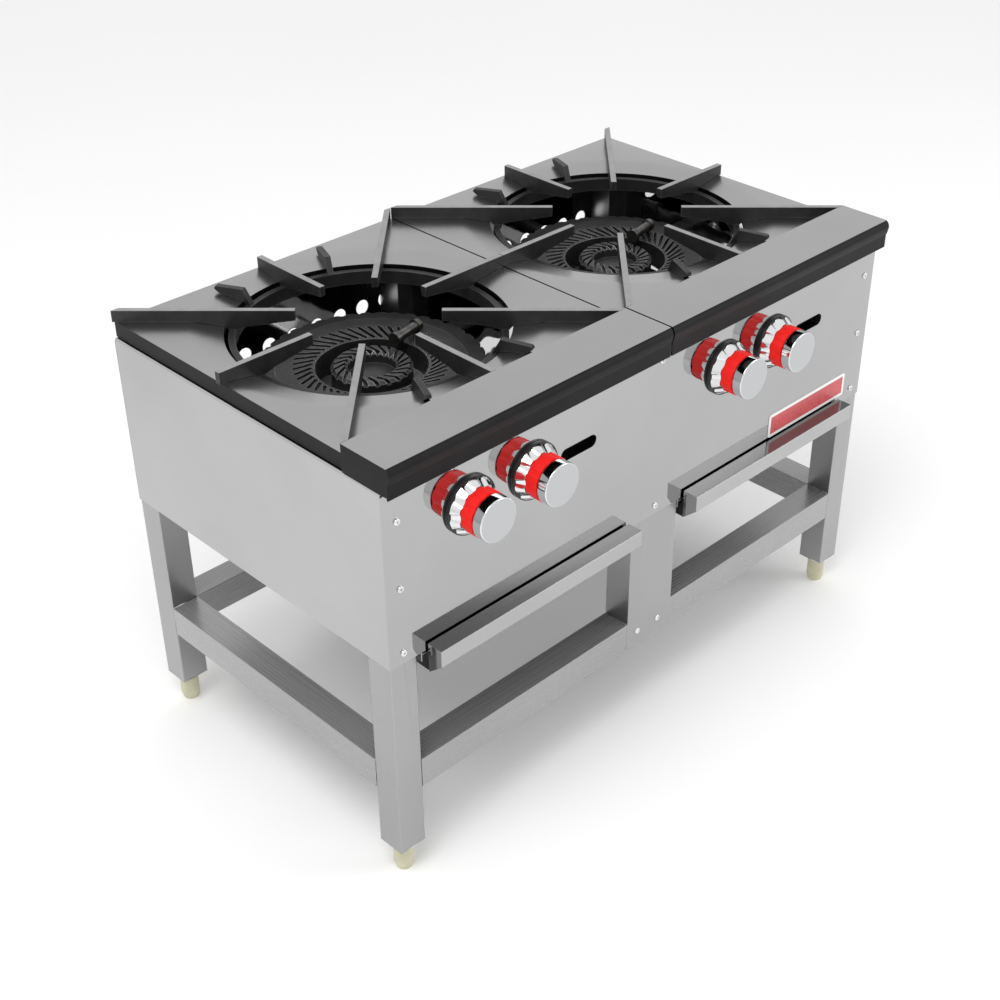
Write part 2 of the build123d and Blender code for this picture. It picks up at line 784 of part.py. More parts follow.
# ---------------------------------------------------------------- mixer tubes and air shutters
mouth_y = y_front + mixer_mouth
window_y = mouth_y + shutter_length / 2 + shutter_wall
for side_name in sides:
    tube_ends = ((knob_x[f"{side_name}_outer"], ring_riser_y), (knob_x[f"{side_name}_inner"], hub_riser_y))
    with BuildPart() as mixer_tubes:
        for x, riser_y in tube_ends:
            tube_plane = Plane(origin=(x, mouth_y, mixer_z), x_dir=(1, 0, 0), z_dir=(0, 1, 0))
            for radius, elbow, mode in (
                (mixer_radius, riser_radius, Mode.ADD),
                (mixer_bore, mixer_bore, Mode.SUBTRACT),
            ):
                with BuildSketch(tube_plane):
                    Circle(radius)
                extrude(amount=riser_y - mouth_y, mode=mode)
                with Locations((x, riser_y, mixer_z)):
                    Sphere(elbow, mode=mode)
                    Cylinder(elbow, burner_base - mixer_z,
                             align=(Align.CENTER, Align.CENTER, Align.MIN), mode=mode)
            block((x - riser_radius, x + riser_radius),
                  (window_y - air_window_length / 2, window_y + air_window_length / 2),
                  (mixer_z - air_window_height / 2, mixer_z + air_window_height / 2), mode=Mode.SUBTRACT)
    save(mixer_tubes, f"mixer_tubes_{side_name}")

for name, x in knob_x.items():
    shutter_bore = mixer_radius + shutter_gap
    with BuildPart() as air_shutter:
        with BuildSketch(Plane(origin=(x, window_y - shutter_length / 2, mixer_z),
                               x_dir=(1, 0, 0), z_dir=(0, 1, 0))):
            Circle(shutter_bore + shutter_wall)
            Circle(shutter_bore, mode=Mode.SUBTRACT)
        extrude(amount=shutter_length)
        block((x - 2 * mixer_radius, x + 2 * mixer_radius),
              (window_y - air_window_length / 2, window_y + air_window_length / 2),
              (mixer_z - air_window_height / 2, mixer_z + air_window_height / 2), mode=Mode.SUBTRACT)
    save(air_shutter, f"air_shutter_{name}")

# ---------------------------------------------------------------- gas manifold, inlet and valves
with BuildPart() as gas_manifold:
    with BuildSketch(Plane.YZ.offset(-manifold_end_x)):
        with Locations((manifold_y, manifold_z)):
            Circle(manifold_radius)
            Circle(manifold_radius - 2 * tube_wall, mode=Mode.SUBTRACT)
    extrude(amount=2 * manifold_end_x)
    for side in (-1, 1):
        with BuildSketch(Plane.YZ.offset(side * manifold_end_x)):
            with Locations((manifold_y, manifold_z)):
                Circle(manifold_radius + tube_wall)
        extrude(amount=side * 2 * tube_wall)
save(gas_manifold, "gas_manifold")

with BuildPart() as gas_inlet:
    with BuildSketch(Plane(origin=(inlet_x, manifold_y, manifold_z), x_dir=(1, 0, 0), z_dir=(0, 1, 0))):
        Circle(manifold_radius - tube_wall)
    extrude(amount=y_back - manifold_y - inlet_coupling_length / 2)
    with BuildSketch(Plane(origin=(inlet_x, y_back, manifold_z), x_dir=(1, 0, 0), z_dir=(0, -1, 0))):
        Circle(inlet_coupling_radius)
    extrude(amount=inlet_coupling_length)
    with BuildSketch(Plane(origin=(inlet_x, y_back, manifold_z), x_dir=(1, 0, 0), z_dir=(0, -1, 0))):
        Circle(inlet_thread_radius)
    extrude(amount=inlet_thread_length, mode=Mode.SUBTRACT)
    with Locations(Location((0, manifold_y, manifold_z), (0, 90, 0))):
        Cylinder(manifold_radius, body_width, mode=Mode.SUBTRACT)
save(gas_inlet, "gas_inlet")

with BuildPart() as gas_valves:
    for x in knob_x.values():
        block((x - valve_width / 2, x + valve_width / 2), (valve_front, valve_back), (valve_bottom, valve_top))
        with Locations((x, manifold_y, manifold_z)):
            Cylinder(nipple_radius, valve_bottom - manifold_z, align=(Align.CENTER, Align.CENTER, Align.MIN))
        with BuildSketch(Plane(origin=(x, valve_back, mixer_z), x_dir=(1, 0, 0), z_dir=(0, 1, 0))):
            Circle(spud_radius)
        extrude(amount=spud_length)
        with BuildSketch(Plane(origin=(x, valve_front, knob_z), x_dir=(1, 0, 0), z_dir=(0, 1, 0))):
            Circle(stem_radius + stem_fit)
        extrude(amount=stem_valve_depth + 2, mode=Mode.SUBTRACT)
    with Locations(Location((0, manifold_y, manifold_z), (0, 90, 0))):
        Cylinder(manifold_radius, body_width, mode=Mode.SUBTRACT)
save(gas_valves, "gas_valves")

# ---------------------------------------------------------------- knobs and stems
with BuildPart() as knob_bezels:
    with BuildSketch(front_plane):
        with Locations(*[(x, knob_z) for x in knob_x.values()]):
            Circle(bezel_radius)
            Circle(stem_hole_radius, mode=Mode.SUBTRACT)
    extrude(amount=bezel_thick)
save(knob_bezels, "knob_bezels")

grip_start = bezel_thick + bezel_gap
band_start = grip_start + grip_length
neck_start = band_start + band_length
cap_start = neck_start + neck_length
for name, x in knob_x.items():
    knob_plane = Plane(origin=(x, y_front, knob_z), x_dir=(1, 0, 0), z_dir=(0, -1, 0))
    with BuildPart() as knob:
        with BuildSketch(knob_plane.offset(grip_start)):
            Circle(grip_radius)
            with PolarLocations(grip_radius + grip_lobe_radius - grip_lobe_depth, knob_lobes):
                Circle(grip_lobe_radius, mode=Mode.SUBTRACT)
        extrude(amount=grip_length, taper=grip_taper)
        with BuildSketch(knob_plane.offset(band_start)):
            Circle(knob_core_radius)
        extrude(amount=band_length)
        with BuildSketch(knob_plane.offset(neck_start)):
            Circle(knob_neck_radius)
        extrude(amount=neck_length)
        with BuildSketch(knob_plane.offset(cap_start)):
            Circle(knob_radius)
        extrude(amount=knob_reach - cap_start)
        fillet(knob.edges().group_by(Axis.Y)[0], 1.5)
        with BuildSketch(knob_plane.offset(grip_start)):
            Circle(stem_radius)
        extrude(amount=stem_knob_depth, mode=Mode.SUBTRACT)
    save(knob, f"knob_{name}")

    with BuildPart() as knob_band:
        with BuildSketch(knob_plane.offset(band_start)):
            Circle(knob_band_radius)
            with PolarLocations(knob_band_radius + band_lobe_radius - band_lobe_depth, knob_lobes):
                Circle(band_lobe_radius, mode=Mode.SUBTRACT)
            Circle(knob_core_radius, mode=Mode.SUBTRACT)
        extrude(amount=band_length)
    save(knob_band, f"knob_band_{name}")

    stem_end = valve_front + stem_valve_depth - y_front
    with BuildPart() as valve_stem:
        with BuildSketch(knob_plane.offset(-stem_end)):
            Circle(stem_radius)
        extrude(amount=stem_end + grip_start + stem_knob_depth)
    save(valve_stem, f"valve_stem_{name}")

# ---------------------------------------------------------------- drip trays and runners
box_half = tray_width / 2
handle_back = y_front - handle_gap
handle_front = handle_back - handle_depth
handle_top = panel_bottom + handle_rise
for side_name, x in zip(sides, tray_x):
    with BuildPart() as drip_tray:
        tray_y = (handle_back, handle_back + tray_length)
        block((x - box_half, x + box_half), tray_y, (tray_bottom, tray_top))
        block((x - box_half + tray_sheet, x + box_half - tray_sheet),
              (tray_y[0] + tray_sheet, tray_y[1] - tray_sheet),
              (tray_bottom + tray_sheet, tray_top), mode=Mode.SUBTRACT)
        for end in (-1, 1):
            rim_x = sorted((x + end * box_half, x + end * (box_half + tray_rim)))
            block(tuple(rim_x), (y_front + skin, tray_y[1]), (runner_seat, tray_top))
    save(drip_tray, f"drip_tray_{side_name}")

    with BuildPart() as tray_handle:
        for inset, mode in ((0, Mode.ADD), (handle_sheet, Mode.SUBTRACT)):
            with BuildSketch(Plane.YZ.offset(x - handle_width / 2 + inset)):
                with BuildLine():
                    Polyline(
                        (handle_back - inset, tray_bottom + 2 * inset),
                        (handle_back - inset, handle_top - inset),
                        (handle_front + inset, handle_top - inset),
                        (handle_front + inset, handle_top - handle_face + inset / 2),
                        close=True,
                    )
                make_face()
            extrude(amount=handle_width - 2 * inset, mode=mode)
    save(tray_handle, f"tray_handle_{side_name}")

with BuildPart() as tray_runners:
    for x in tray_x:
        for end in (-1, 1):
            wall = x + end * runner_span / 2
            web = sorted((wall, wall - end * runner_sheet))
            ledge = sorted((wall, wall - end * runner_ledge))
            run = (y_front + skin, y_back - skin)
            block(tuple(web), run, (runner_seat - runner_drop, runner_seat + runner_rise))
            block(tuple(ledge), run, (runner_seat - runner_sheet, runner_seat))
save(tray_runners, "tray_runners")
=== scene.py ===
# %% [markdown]
# # A gas stock pot range, dressed for its portrait
#
# A stock pot range is a low, strong gas stove for very large pots. This one has two burners side by side on a
# stand of square stainless tube. The CAD model already holds every piece at its true size and place, so this
# script leaves those shapes alone. It rounds their edges, gives each one its own finish, and then sets up the
# floor, the light and the camera.
#
# Everything is in metres. +Z is up, the knobs face -Y, and the origin is on the floor.

from math import cos, radians, sin

import bpy
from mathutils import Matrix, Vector


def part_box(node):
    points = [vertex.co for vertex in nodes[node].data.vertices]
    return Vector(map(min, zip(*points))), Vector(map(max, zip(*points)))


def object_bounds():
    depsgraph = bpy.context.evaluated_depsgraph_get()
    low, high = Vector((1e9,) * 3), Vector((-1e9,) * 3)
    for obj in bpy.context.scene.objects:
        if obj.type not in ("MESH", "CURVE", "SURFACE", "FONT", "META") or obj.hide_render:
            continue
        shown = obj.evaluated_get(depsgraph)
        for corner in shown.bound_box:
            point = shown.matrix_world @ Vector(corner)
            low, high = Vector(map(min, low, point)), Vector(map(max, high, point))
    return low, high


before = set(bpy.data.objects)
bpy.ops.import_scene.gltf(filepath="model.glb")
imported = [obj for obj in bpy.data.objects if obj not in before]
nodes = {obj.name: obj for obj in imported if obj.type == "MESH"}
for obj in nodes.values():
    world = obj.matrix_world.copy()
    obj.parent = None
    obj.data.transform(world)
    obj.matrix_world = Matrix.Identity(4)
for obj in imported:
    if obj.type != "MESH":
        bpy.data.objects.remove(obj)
cad_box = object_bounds()
MM = 0.001
print("CAD pieces:", len(nodes))
print("CAD box:", [[round(v, 4) for v in corner] for corner in cad_box])

# %% [markdown]
# ## Reading places from the frame
#
# Two finishes depend on where a piece is: the border of the label plate follows that plate's own edges, and a
# grate's bare grey, part wear and part painted highlight, lies only along its top. Such a place is never typed in
# by hand. It is read from the box of the CAD node, so the finish still fits if the model changes. These helpers
# give a node's middle and its extent.


# %% Helpers that read the frame
def middle(node):
    low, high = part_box(node)
    return (low + high) / 2


def extent(node):
    low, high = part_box(node)
    return high - low


print("body width:", round(extent("front_panel").x, 4), "m")

# %% [markdown]
# ## Rounded edges
#
# No real edge is perfectly sharp: folded sheet has a small bend radius, tube has rounded corners, and castings
# are rounded everywhere. A rounded edge catches a thin line of light, and the eye reads metal from that line.
# One way is to model each radius. The quicker way, used here, is a Bevel modifier that only acts where two faces
# meet at a clear angle. A Weld modifier comes first, because imported meshes are split along their sharp edges,
# and weighted normals come last, so that the large faces stay flat in the light.


# %% Helper that rounds the edges of one piece
def round_edges(piece, width, segments=2, angle=35):
    piece.data.polygons.foreach_set("use_smooth", [True] * len(piece.data.polygons))
    weld = piece.modifiers.new("join split edges", "WELD")
    weld.merge_threshold = 0.01 * MM
    bevel = piece.modifiers.new("rounded edges", "BEVEL")
    bevel.width = width
    bevel.segments = segments
    bevel.limit_method = "ANGLE"
    bevel.angle_limit = radians(angle)
    bevel.use_clamp_overlap = True
    normals = piece.modifiers.new("flat faces stay flat", "WEIGHTED_NORMAL")
    normals.mode = "FACE_AREA_WITH_ANGLE"
    normals.weight = 60


print("helper ready: round_edges")

# %% [markdown]
# ## How round each piece is
#
# Tube has the largest corners, castings come next, and folded sheet is nearly sharp. The table gives a radius for
# each family of pieces, and any piece that isn't in it gets a small one. Four sheets are left out altogether.
# They are flat and pierced by small holes, and smooth shading around so many rims would show on the polished
# sheet as fine dark lines from hole to hole.

# %% Round the edges
flat_sheets = ("front_panel", "back_panel", "post_middle", "divider_panel")
small_radius = 0.3 * MM
edge_radius = {
    "leg": 1.6 * MM,
    "rail": 1.6 * MM,
    "post": 1.6 * MM,
    "plate_frame": 1.0 * MM,
    "top_plate": 0.6 * MM,
    "grate": 0.9 * MM,
    "burner_ring": 0.5 * MM,
    "burner_hub": 0.5 * MM,
    "burner_bars": 0.5 * MM,
    "knob_bezels": 0.8 * MM,
    "knob_band": 1.2 * MM,
    "knob": 1.0 * MM,
    "feet": 1.2 * MM,
    "tray_handle": 0.5 * MM,
    "gas_valves": 1.0 * MM,
}


def family_of(name, table):
    """The longest key of the table that the piece's name starts with."""
    return max((key for key in table if name.startswith(key)), key=len, default=None)


rounded = [name for name in nodes if name not in flat_sheets]
for name in rounded:
    round_edges(nodes[name], edge_radius.get(family_of(name, edge_radius), small_radius))
print("rounded:", len(rounded), "pieces")

# %% [markdown]
# ## Making nodes with little code
#
# Each finish below is a small node graph, and Blender's own calls for one node take several lines. `add` makes a
# node and sets its inputs in one line: an input given as a socket is linked, and any other value is typed in.
# `join` feeds a result to the shader, and `maths` is the one-line form of the Math node.


# %% Helpers that make nodes
def new_material(name):
    material = bpy.data.materials.new(name)
    material.use_nodes = True
    tree = material.node_tree
    shader = tree.nodes["Principled BSDF"]
    return material, tree, shader


def add(tree, kind, inputs=None, **settings):
    node = tree.nodes.new(kind)
    for key, value in settings.items():
        setattr(node, key, value)
    for key, value in (inputs or {}).items():
        if isinstance(value, bpy.types.NodeSocket):
            tree.links.new(value, node.inputs[key])
        else:
            node.inputs[key].default_value = value
    return node


def join(tree, source, shader, name):
    tree.links.new(source, shader.inputs[name])


def maths(tree, operation, first, second=0.5):
    return add(tree, "ShaderNodeMath", {0: first, 1: second}, operation=operation).outputs[0]


print("helpers ready: new_material, add, join, maths")

# %% [markdown]
# ## Noise that sits still on the piece
#
# Real metal is never one even colour, so every finish starts from noise. The noise is read at the point's place on
# the object, and not across the picture, so it rides along when a tray slides or a knob turns. `spread` then maps
# the noise, which mostly stays between 0.3 and 0.7, to whatever range a finish needs.


# %% Helpers for place and noise
def place(tree, stretch=(1, 1, 1)):
    where = add(tree, "ShaderNodeTexCoord")
    return add(tree, "ShaderNodeMapping", {"Vector": where.outputs["Object"], "Scale": stretch}).outputs[0]


def noise(tree, scale, detail=3.0, rough=0.55, stretch=(1, 1, 1)):
    settings = {"Vector": place(tree, stretch), "Scale": scale, "Detail": detail, "Roughness": rough}
    return add(tree, "ShaderNodeTexNoise", settings).outputs["Fac"]


def spread(tree, value, low, high, start=0.3, end=0.7):
    ranges = {"Value": value, "From Min": start, "From Max": end, "To Min": low, "To Max": high}
    return add(tree, "ShaderNodeMapRange", ranges).outputs[0]


print("helpers ready: place, noise, spread")

# %% [markdown]
# ## Mixing colours, and asking which way a face looks
#
# Some marks depend on direction: painted light and shade on the tops of rails and handles and on the plates'
# hanging sides, wear and painted highlight on the grates' tops, and a duller face on each knob. `facing` turns a
# face's normal into a value from 0 to 1 along one axis, which then drives a colour mix. The object itself gives
# that direction, so the finish is the same from every camera.


# %% Helpers for colour, bump and direction
def grey(level):
    return (level, level, level)


def blend_colours(tree, amount, first, second):
    mix = add(tree, "ShaderNodeMix", data_type="RGBA")
    for socket, value in zip((mix.inputs[0], mix.inputs[6], mix.inputs[7]), (amount, first, second)):
        if isinstance(value, bpy.types.NodeSocket):
            tree.links.new(value, socket)
        else:
            socket.default_value = (*value, 1.0)
    return mix.outputs[2]


def bump(tree, height, strength, distance, after=None):
    inputs = {"Height": height, "Strength": strength, "Distance": distance}
    if after is not None:
        inputs["Normal"] = after
    return add(tree, "ShaderNodeBump", inputs).outputs[0]


def facing(tree, axis, start, end):
    normal = add(tree, "ShaderNodeNewGeometry").outputs["Normal"]
    part = add(tree, "ShaderNodeSeparateXYZ", {"Vector": normal}).outputs[axis]
    return add(tree, "ShaderNodeMapRange", {"Value": part, "From Min": start, "From Max": end}).outputs[0]


print("helpers ready: grey, blend_colours, bump, facing")

# %% [markdown]
# ## Stainless steel
#
# The stand, the panels and the top plates are stainless steel. Satin stainless shows a fine grain that runs one
# way, because the mill brushes the sheet along its length. A noise that is stretched a hundred times along one
# axis gives that grain, and it goes mostly into roughness and hardly into colour. A second, broad noise gives the
# slow shifts in tone that handling and heat leave. Polished sheet is the same recipe with a low roughness and a
# weak, wide ripple, because thin sheet is never optically flat.


# %% Stainless steel recipe
GRAIN = {"X": (6, 900, 900), "Y": (900, 6, 900), "Z": (900, 900, 6)}
GRAIN_DEPTH = 0.2 * MM
RIPPLE_SCALE = 26.0
RIPPLE_DEPTH = 6 * MM


def stainless(name, tone, along, roughness, ripple=0.0, warm=0.0):
    material, tree, shader = new_material(name)
    grain = noise(tree, 1.0, detail=2.0, stretch=GRAIN[along])
    worked = min(0.05, roughness)  # how far the grain changes the gloss
    cloud = noise(tree, 3.5, detail=4.0)
    base = blend_colours(tree, spread(tree, cloud, 0, 1), (tone * 0.93, tone * 0.93, tone * (0.935 - warm)),
                         (tone * 1.05, tone * 1.05, tone * (1.055 - warm)))
    streaked = blend_colours(tree, spread(tree, grain, 0, 0.10), base, grey(tone * 0.8))
    join(tree, streaked, shader, "Base Color")
    join(tree, spread(tree, grain, roughness - worked / 2, roughness + worked), shader, "Roughness")
    lines = bump(tree, grain, worked, GRAIN_DEPTH)
    if ripple:
        lines = bump(tree, noise(tree, RIPPLE_SCALE, detail=0.0), ripple, RIPPLE_DEPTH, lines)
    join(tree, lines, shader, "Normal")
    shader.inputs["Metallic"].default_value = 1.0
    return material, tree, shader, streaked


upright_steel = stainless("satin steel, upright", 0.40, "Z", 0.30)[0]
front_steel = stainless("polished front sheet", 0.43, "X", 0.035)[0]
inner_steel = stainless("polished inner sheet", 0.62, "Y", 0.03, ripple=0.30, warm=0.01)[0]
print("plain stainless finishes:", 3)

# %% [markdown]
# ## Steel with a painted top tone
#
# A level top is given its own grey and metal level: painted light and shade, set to the brightness each top
# should show, while the sides of the same rail stay bright. Painting the tops with separate materials would need
# the faces sorted by hand. Here one mask, which is 1 only where a face looks up, lowers both the colour and how
# metallic the steel is. On the rails the top loses most of its metal and shows more of its own grey. The tray
# handles keep their mirror, and the darker grey on their tops is painted shade.


# %% Steel with a painted top tone
def painted_top_tone(tree, shader, colour, top_colour, metal_left):
    # Painted light and shade: a face that looks up takes its own grey and metal level.
    upward = facing(tree, "Z", 0.90, 0.94)
    join(tree, blend_colours(tree, upward, colour, grey(top_colour)), shader, "Base Color")
    join(tree, spread(tree, upward, 1.0, metal_left, 0, 1), shader, "Metallic")


long_steel, tree, shader, tone = stainless("satin steel, left to right", 0.40, "X", 0.26)
painted_top_tone(tree, shader, tone, 0.30, 0.45)
deep_steel, tree, shader, tone = stainless("satin steel, front to back", 0.41, "Y", 0.26)
painted_top_tone(tree, shader, tone, 0.34, 0.45)
tray_steel, tree, shader, tone = stainless("folded tray front", 0.46, "X", 0.13)
painted_top_tone(tree, shader, tone, 0.21, 1.0)
print("finishes with a dulled top:", 3)

# %% [markdown]
# ## Side sheets, satin outside and bright inside
#
# A side panel is one sheet with two finishes: satin towards the room, and mirror-bright towards the burners, where
# its slight waves break the reflections up. The sign tells the two apart. On the outer face the normal's X and the
# place's X have the same sign, so their product is positive, and on the inner face it is negative.


# %% Side sheet finish
INNER_LIMIT = -0.1  # the product is near -0.46 on an inner face and 0 on a sheet's narrow edges


def side_finish():
    material, tree, shader, outer = stainless("side sheet", 0.47, "Y", 0.10)
    normal = add(tree, "ShaderNodeNewGeometry").outputs["Normal"]
    across = add(tree, "ShaderNodeSeparateXYZ", {"Vector": normal}).outputs["X"]
    side = add(tree, "ShaderNodeSeparateXYZ", {"Vector": place(tree)}).outputs["X"]
    inner = maths(tree, "LESS_THAN", maths(tree, "MULTIPLY", across, side), INNER_LIMIT)
    plain = shader.inputs["Roughness"].links[0].from_socket
    join(tree, blend_colours(tree, inner, outer, grey(0.62)), shader, "Base Color")
    join(tree, blend_colours(tree, inner, plain, grey(0.03)), shader, "Roughness")
    lines = shader.inputs["Normal"].links[0].from_socket
    waves = maths(tree, "MULTIPLY", noise(tree, RIPPLE_SCALE, detail=0.0), inner)
    join(tree, bump(tree, waves, 0.30, RIPPLE_DEPTH, lines), shader, "Normal")
    return material


side_steel = side_finish()
print("side sheet finish:", side_steel.name)

# %% [markdown]
# ## Top plates
#
# The flat top of each plate is satin steel, and its hanging edges are given an almost black grey. That near-black
# is painted shade, standing for the dark surroundings these faces reflect. The face's own direction tells the two
# apart. Where it looks up the tone is the mid grey of the deck, and where it looks sideways it is the painted dark
# one.


# %% Top plate finish
def plate_finish():
    material, tree, shader, deck = stainless("top plate steel", 0.37, "X", 0.24)
    upward = facing(tree, "Z", 0.90, 0.94)
    # Painted shade: faces that look sideways get a near-black grey.
    painted_dark_sides = blend_colours(tree, spread(tree, noise(tree, 14.0), 0, 1), grey(0.018), grey(0.024))
    join(tree, blend_colours(tree, upward, painted_dark_sides, deck), shader, "Base Color")
    join(tree, blend_colours(tree, upward, grey(0.5), grey(0.26)), shader, "Roughness")
    return material


plate_steel = plate_finish()
print("top plate finish:", plate_steel.name)

# %% [markdown]
# ## Cast iron
#
# Grates and burners are sand-cast iron, blackened by use. Sand casting leaves a fine pebbled skin, which is a bump
# and not a colour. Top edges and corners are given a bare, greyer metal: partly the wear where pans rub, and
# partly a painted highlight, the glint a lit edge would give. On the burners, which no pan touches, the bright
# edges are painted highlight alone. A Bevel node can find those corners: it gives a softened normal, and where
# that differs from the true one there is an edge.
#
# Pots touch only the highest faces of a grate. Its ring hangs lower, in the well, and also looks up, but nothing
# rubs it. So the recipe can take the level of the top, and the bare grey, wear and painted highlight together,
# then stops 2 mm below it.


# %% Cast iron recipe
EDGE_REACH = 1.6 * MM
WEAR_AND_HIGHLIGHT_DEPTH = 2 * MM


def edge_mask(tree, strength):
    """0 on a face and up to the strength on an edge."""
    true_normal = add(tree, "ShaderNodeNewGeometry").outputs["Normal"]
    soft_normal = add(tree, "ShaderNodeBevel", {"Radius": EDGE_REACH}, samples=4).outputs[0]
    alike = add(tree, "ShaderNodeVectorMath", {0: true_normal, 1: soft_normal}, operation="DOT_PRODUCT")
    return spread(tree, alike.outputs["Value"], 0.0, strength, 0.99, 0.86)


def cast_iron(name, top_wear_and_highlight, edge_wear_and_glint=0.5, top_level=None):
    material, tree, shader = new_material(name)
    skin = noise(tree, 420.0, detail=4.0)
    lumps = noise(tree, 60.0, detail=3.0)
    patchy_edge_glint = maths(tree, "MULTIPLY", edge_mask(tree, edge_wear_and_glint), spread(tree, lumps, 0.2, 1))
    top = maths(tree, "MULTIPLY", facing(tree, "Z", 0.8, 0.97), spread(tree, lumps, 0.75, 1))
    if top_level is not None:
        height = add(tree, "ShaderNodeSeparateXYZ", {"Vector": place(tree)}).outputs["Z"]
        top = maths(tree, "MULTIPLY", top, maths(tree, "GREATER_THAN", height, top_level - WEAR_AND_HIGHLIGHT_DEPTH))
    # Bare grey on edges and tops: wear where pans rub, and painted highlight, the glint of a lit edge.
    wear_and_glint = maths(tree, "MAXIMUM", patchy_edge_glint, maths(tree, "MULTIPLY", top, top_wear_and_highlight))
    black = blend_colours(tree, spread(tree, lumps, 0, 1), grey(0.006), grey(0.013))
    join(tree, blend_colours(tree, wear_and_glint, black, grey(0.42)), shader, "Base Color")
    join(tree, wear_and_glint, shader, "Metallic")
    join(tree, spread(tree, skin, 0.38, 0.6), shader, "Roughness")
    join(tree, bump(tree, skin, 0.25, 0.3 * MM, bump(tree, lumps, 0.15, 0.6 * MM)), shader, "Normal")
    return material


grate_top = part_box("grate_left")[1].z
grate_iron = cast_iron("grate iron", 0.9, edge_wear_and_glint=0.25, top_level=grate_top)
# The burners' bright edges are painted highlight alone: no pan touches them.
burner_iron = cast_iron("burner iron", 0.04, edge_wear_and_glint=1.0)
print("cast iron finishes:", 2, "- grates worn and highlit above", round(grate_top - WEAR_AND_HIGHLIGHT_DEPTH, 4), "m")

# %% [markdown]
# ## Chrome, plastic and paint
#
# The knobs carry three finishes side by side: bright chrome, a glossy red band and a black ring. Each is mostly
# its shader's gloss, with a light touch of noise so that it isn't a flat colour. The feet are ivory nylon, which
# lets a little light in under its surface. The pilots' steel is given a dark grey, much darker than bare steel.


# %% Smooth finishes
def smooth_finish(name, colour, roughness, metallic=0.0, coat=0.0, mottle=0.08, texture=0.05, scale=90.0):
    material, tree, shader = new_material(name)
    drift = noise(tree, scale, detail=3.0)
    darker = tuple(c * (1 - mottle) for c in colour)
    lighter = tuple(min(1.0, c * (1 + mottle)) for c in colour)
    join(tree, blend_colours(tree, spread(tree, drift, 0, 1), darker, lighter), shader, "Base Color")
    join(tree, spread(tree, noise(tree, 4 * scale), roughness * 0.85, roughness * 1.2), shader, "Roughness")
    join(tree, bump(tree, noise(tree, 6 * scale), texture, 0.2 * MM), shader, "Normal")
    shader.inputs["Metallic"].default_value = metallic
    shader.inputs["Coat Weight"].default_value = coat
    shader.inputs["Coat Roughness"].default_value = 0.08
    return material


chrome = smooth_finish("knob chrome", (0.74, 0.75, 0.76), 0.09, metallic=1.0, texture=0.0, mottle=0.02)
red_gloss = smooth_finish("red band", (0.93, 0.006, 0.003), 0.5, mottle=0.03, texture=0.01)
black_ring = smooth_finish("black ring", (0.006, 0.006, 0.006), 0.30)
nylon = smooth_finish("ivory nylon", (0.55, 0.53, 0.38), 0.45, texture=0.08, scale=60.0)
enamel = smooth_finish("tray enamel", (0.006, 0.006, 0.007), 0.30, coat=0.2, texture=0.15, scale=40.0)
dark_paint = smooth_finish("heat-proof paint", (0.035, 0.035, 0.036), 0.5, texture=0.2)
pipe_paint = smooth_finish("black pipe", (0.03, 0.03, 0.032), 0.42, texture=0.2)
brass = smooth_finish("valve brass", (0.62, 0.43, 0.16), 0.30, metallic=1.0, mottle=0.15)
tube_metal = smooth_finish("pilot tube", (0.72, 0.72, 0.73), 0.26, metallic=1.0)
# A dark grey for the pilots' steel, much darker than bare steel.
pilot_metal = smooth_finish("dark grey pilot steel", (0.13, 0.125, 0.12), 0.32, metallic=1.0, mottle=0.3)
screw_metal = smooth_finish("screw steel", (0.74, 0.74, 0.75), 0.18, metallic=1.0)
nylon_shader = nylon.node_tree.nodes["Principled BSDF"]
nylon_shader.inputs["Subsurface Weight"].default_value = 0.25
nylon_shader.inputs["Subsurface Radius"].default_value = (0.004, 0.003, 0.002)
print("smooth finishes:", 11)

# %% [markdown]
# ## A duller face on each knob
#
# Hands touch the flat front face of a knob far more than its sides, so that face has lost some of its shine. A
# knob turns about the same axis as its face looks along, so the face's direction stays the same at every angle
# and a mask on it is safe: 1 where the chrome looks straight out at the cook, and 0 elsewhere.

# %% Dull the face of the chrome cap
chrome_tree = chrome.node_tree
chrome_shader = chrome_tree.nodes["Principled BSDF"]
cap_face = facing(chrome_tree, "Y", -0.96, -0.99)
bright = chrome_shader.inputs["Base Color"].links[0].from_socket
cap_tone = blend_colours(chrome_tree, cap_face, bright, (0.50, 0.51, 0.52))
join(chrome_tree, cap_tone, chrome_shader, "Base Color")
print("nodes in the chrome:", len(chrome_tree.nodes))

# %% [markdown]
# ## Galvanised runners and shutters
#
# The tray runners and air shutters are galvanised. Zinc freezes into flat crystals, each with its own slight tone,
# and a Voronoi texture is made of just such cells.


# %% Galvanised finish
def galvanised(name):
    material, tree, shader = new_material(name)
    cells = add(tree, "ShaderNodeTexVoronoi", {"Vector": place(tree), "Scale": 160.0})
    tone = add(tree, "ShaderNodeSeparateColor", {"Color": cells.outputs["Color"]}).outputs[0]
    join(tree, blend_colours(tree, tone, grey(0.42), grey(0.58)), shader, "Base Color")
    join(tree, spread(tree, tone, 0.30, 0.48, 0, 1), shader, "Roughness")
    shader.inputs["Metallic"].default_value = 1.0
    return material


zinc = galvanised("galvanised steel")
print("galvanised finish:", zinc.name)

# %% [markdown]
# ## The bare label plate
#
# A small plate sits at the right of the front panel: red, with a white border. It is left bare. The border is
# worked out from the plate's own box: a point belongs to it when it lies within a set margin of an edge.


# %% Label finish
LABEL_MARGIN = 4.5 * MM


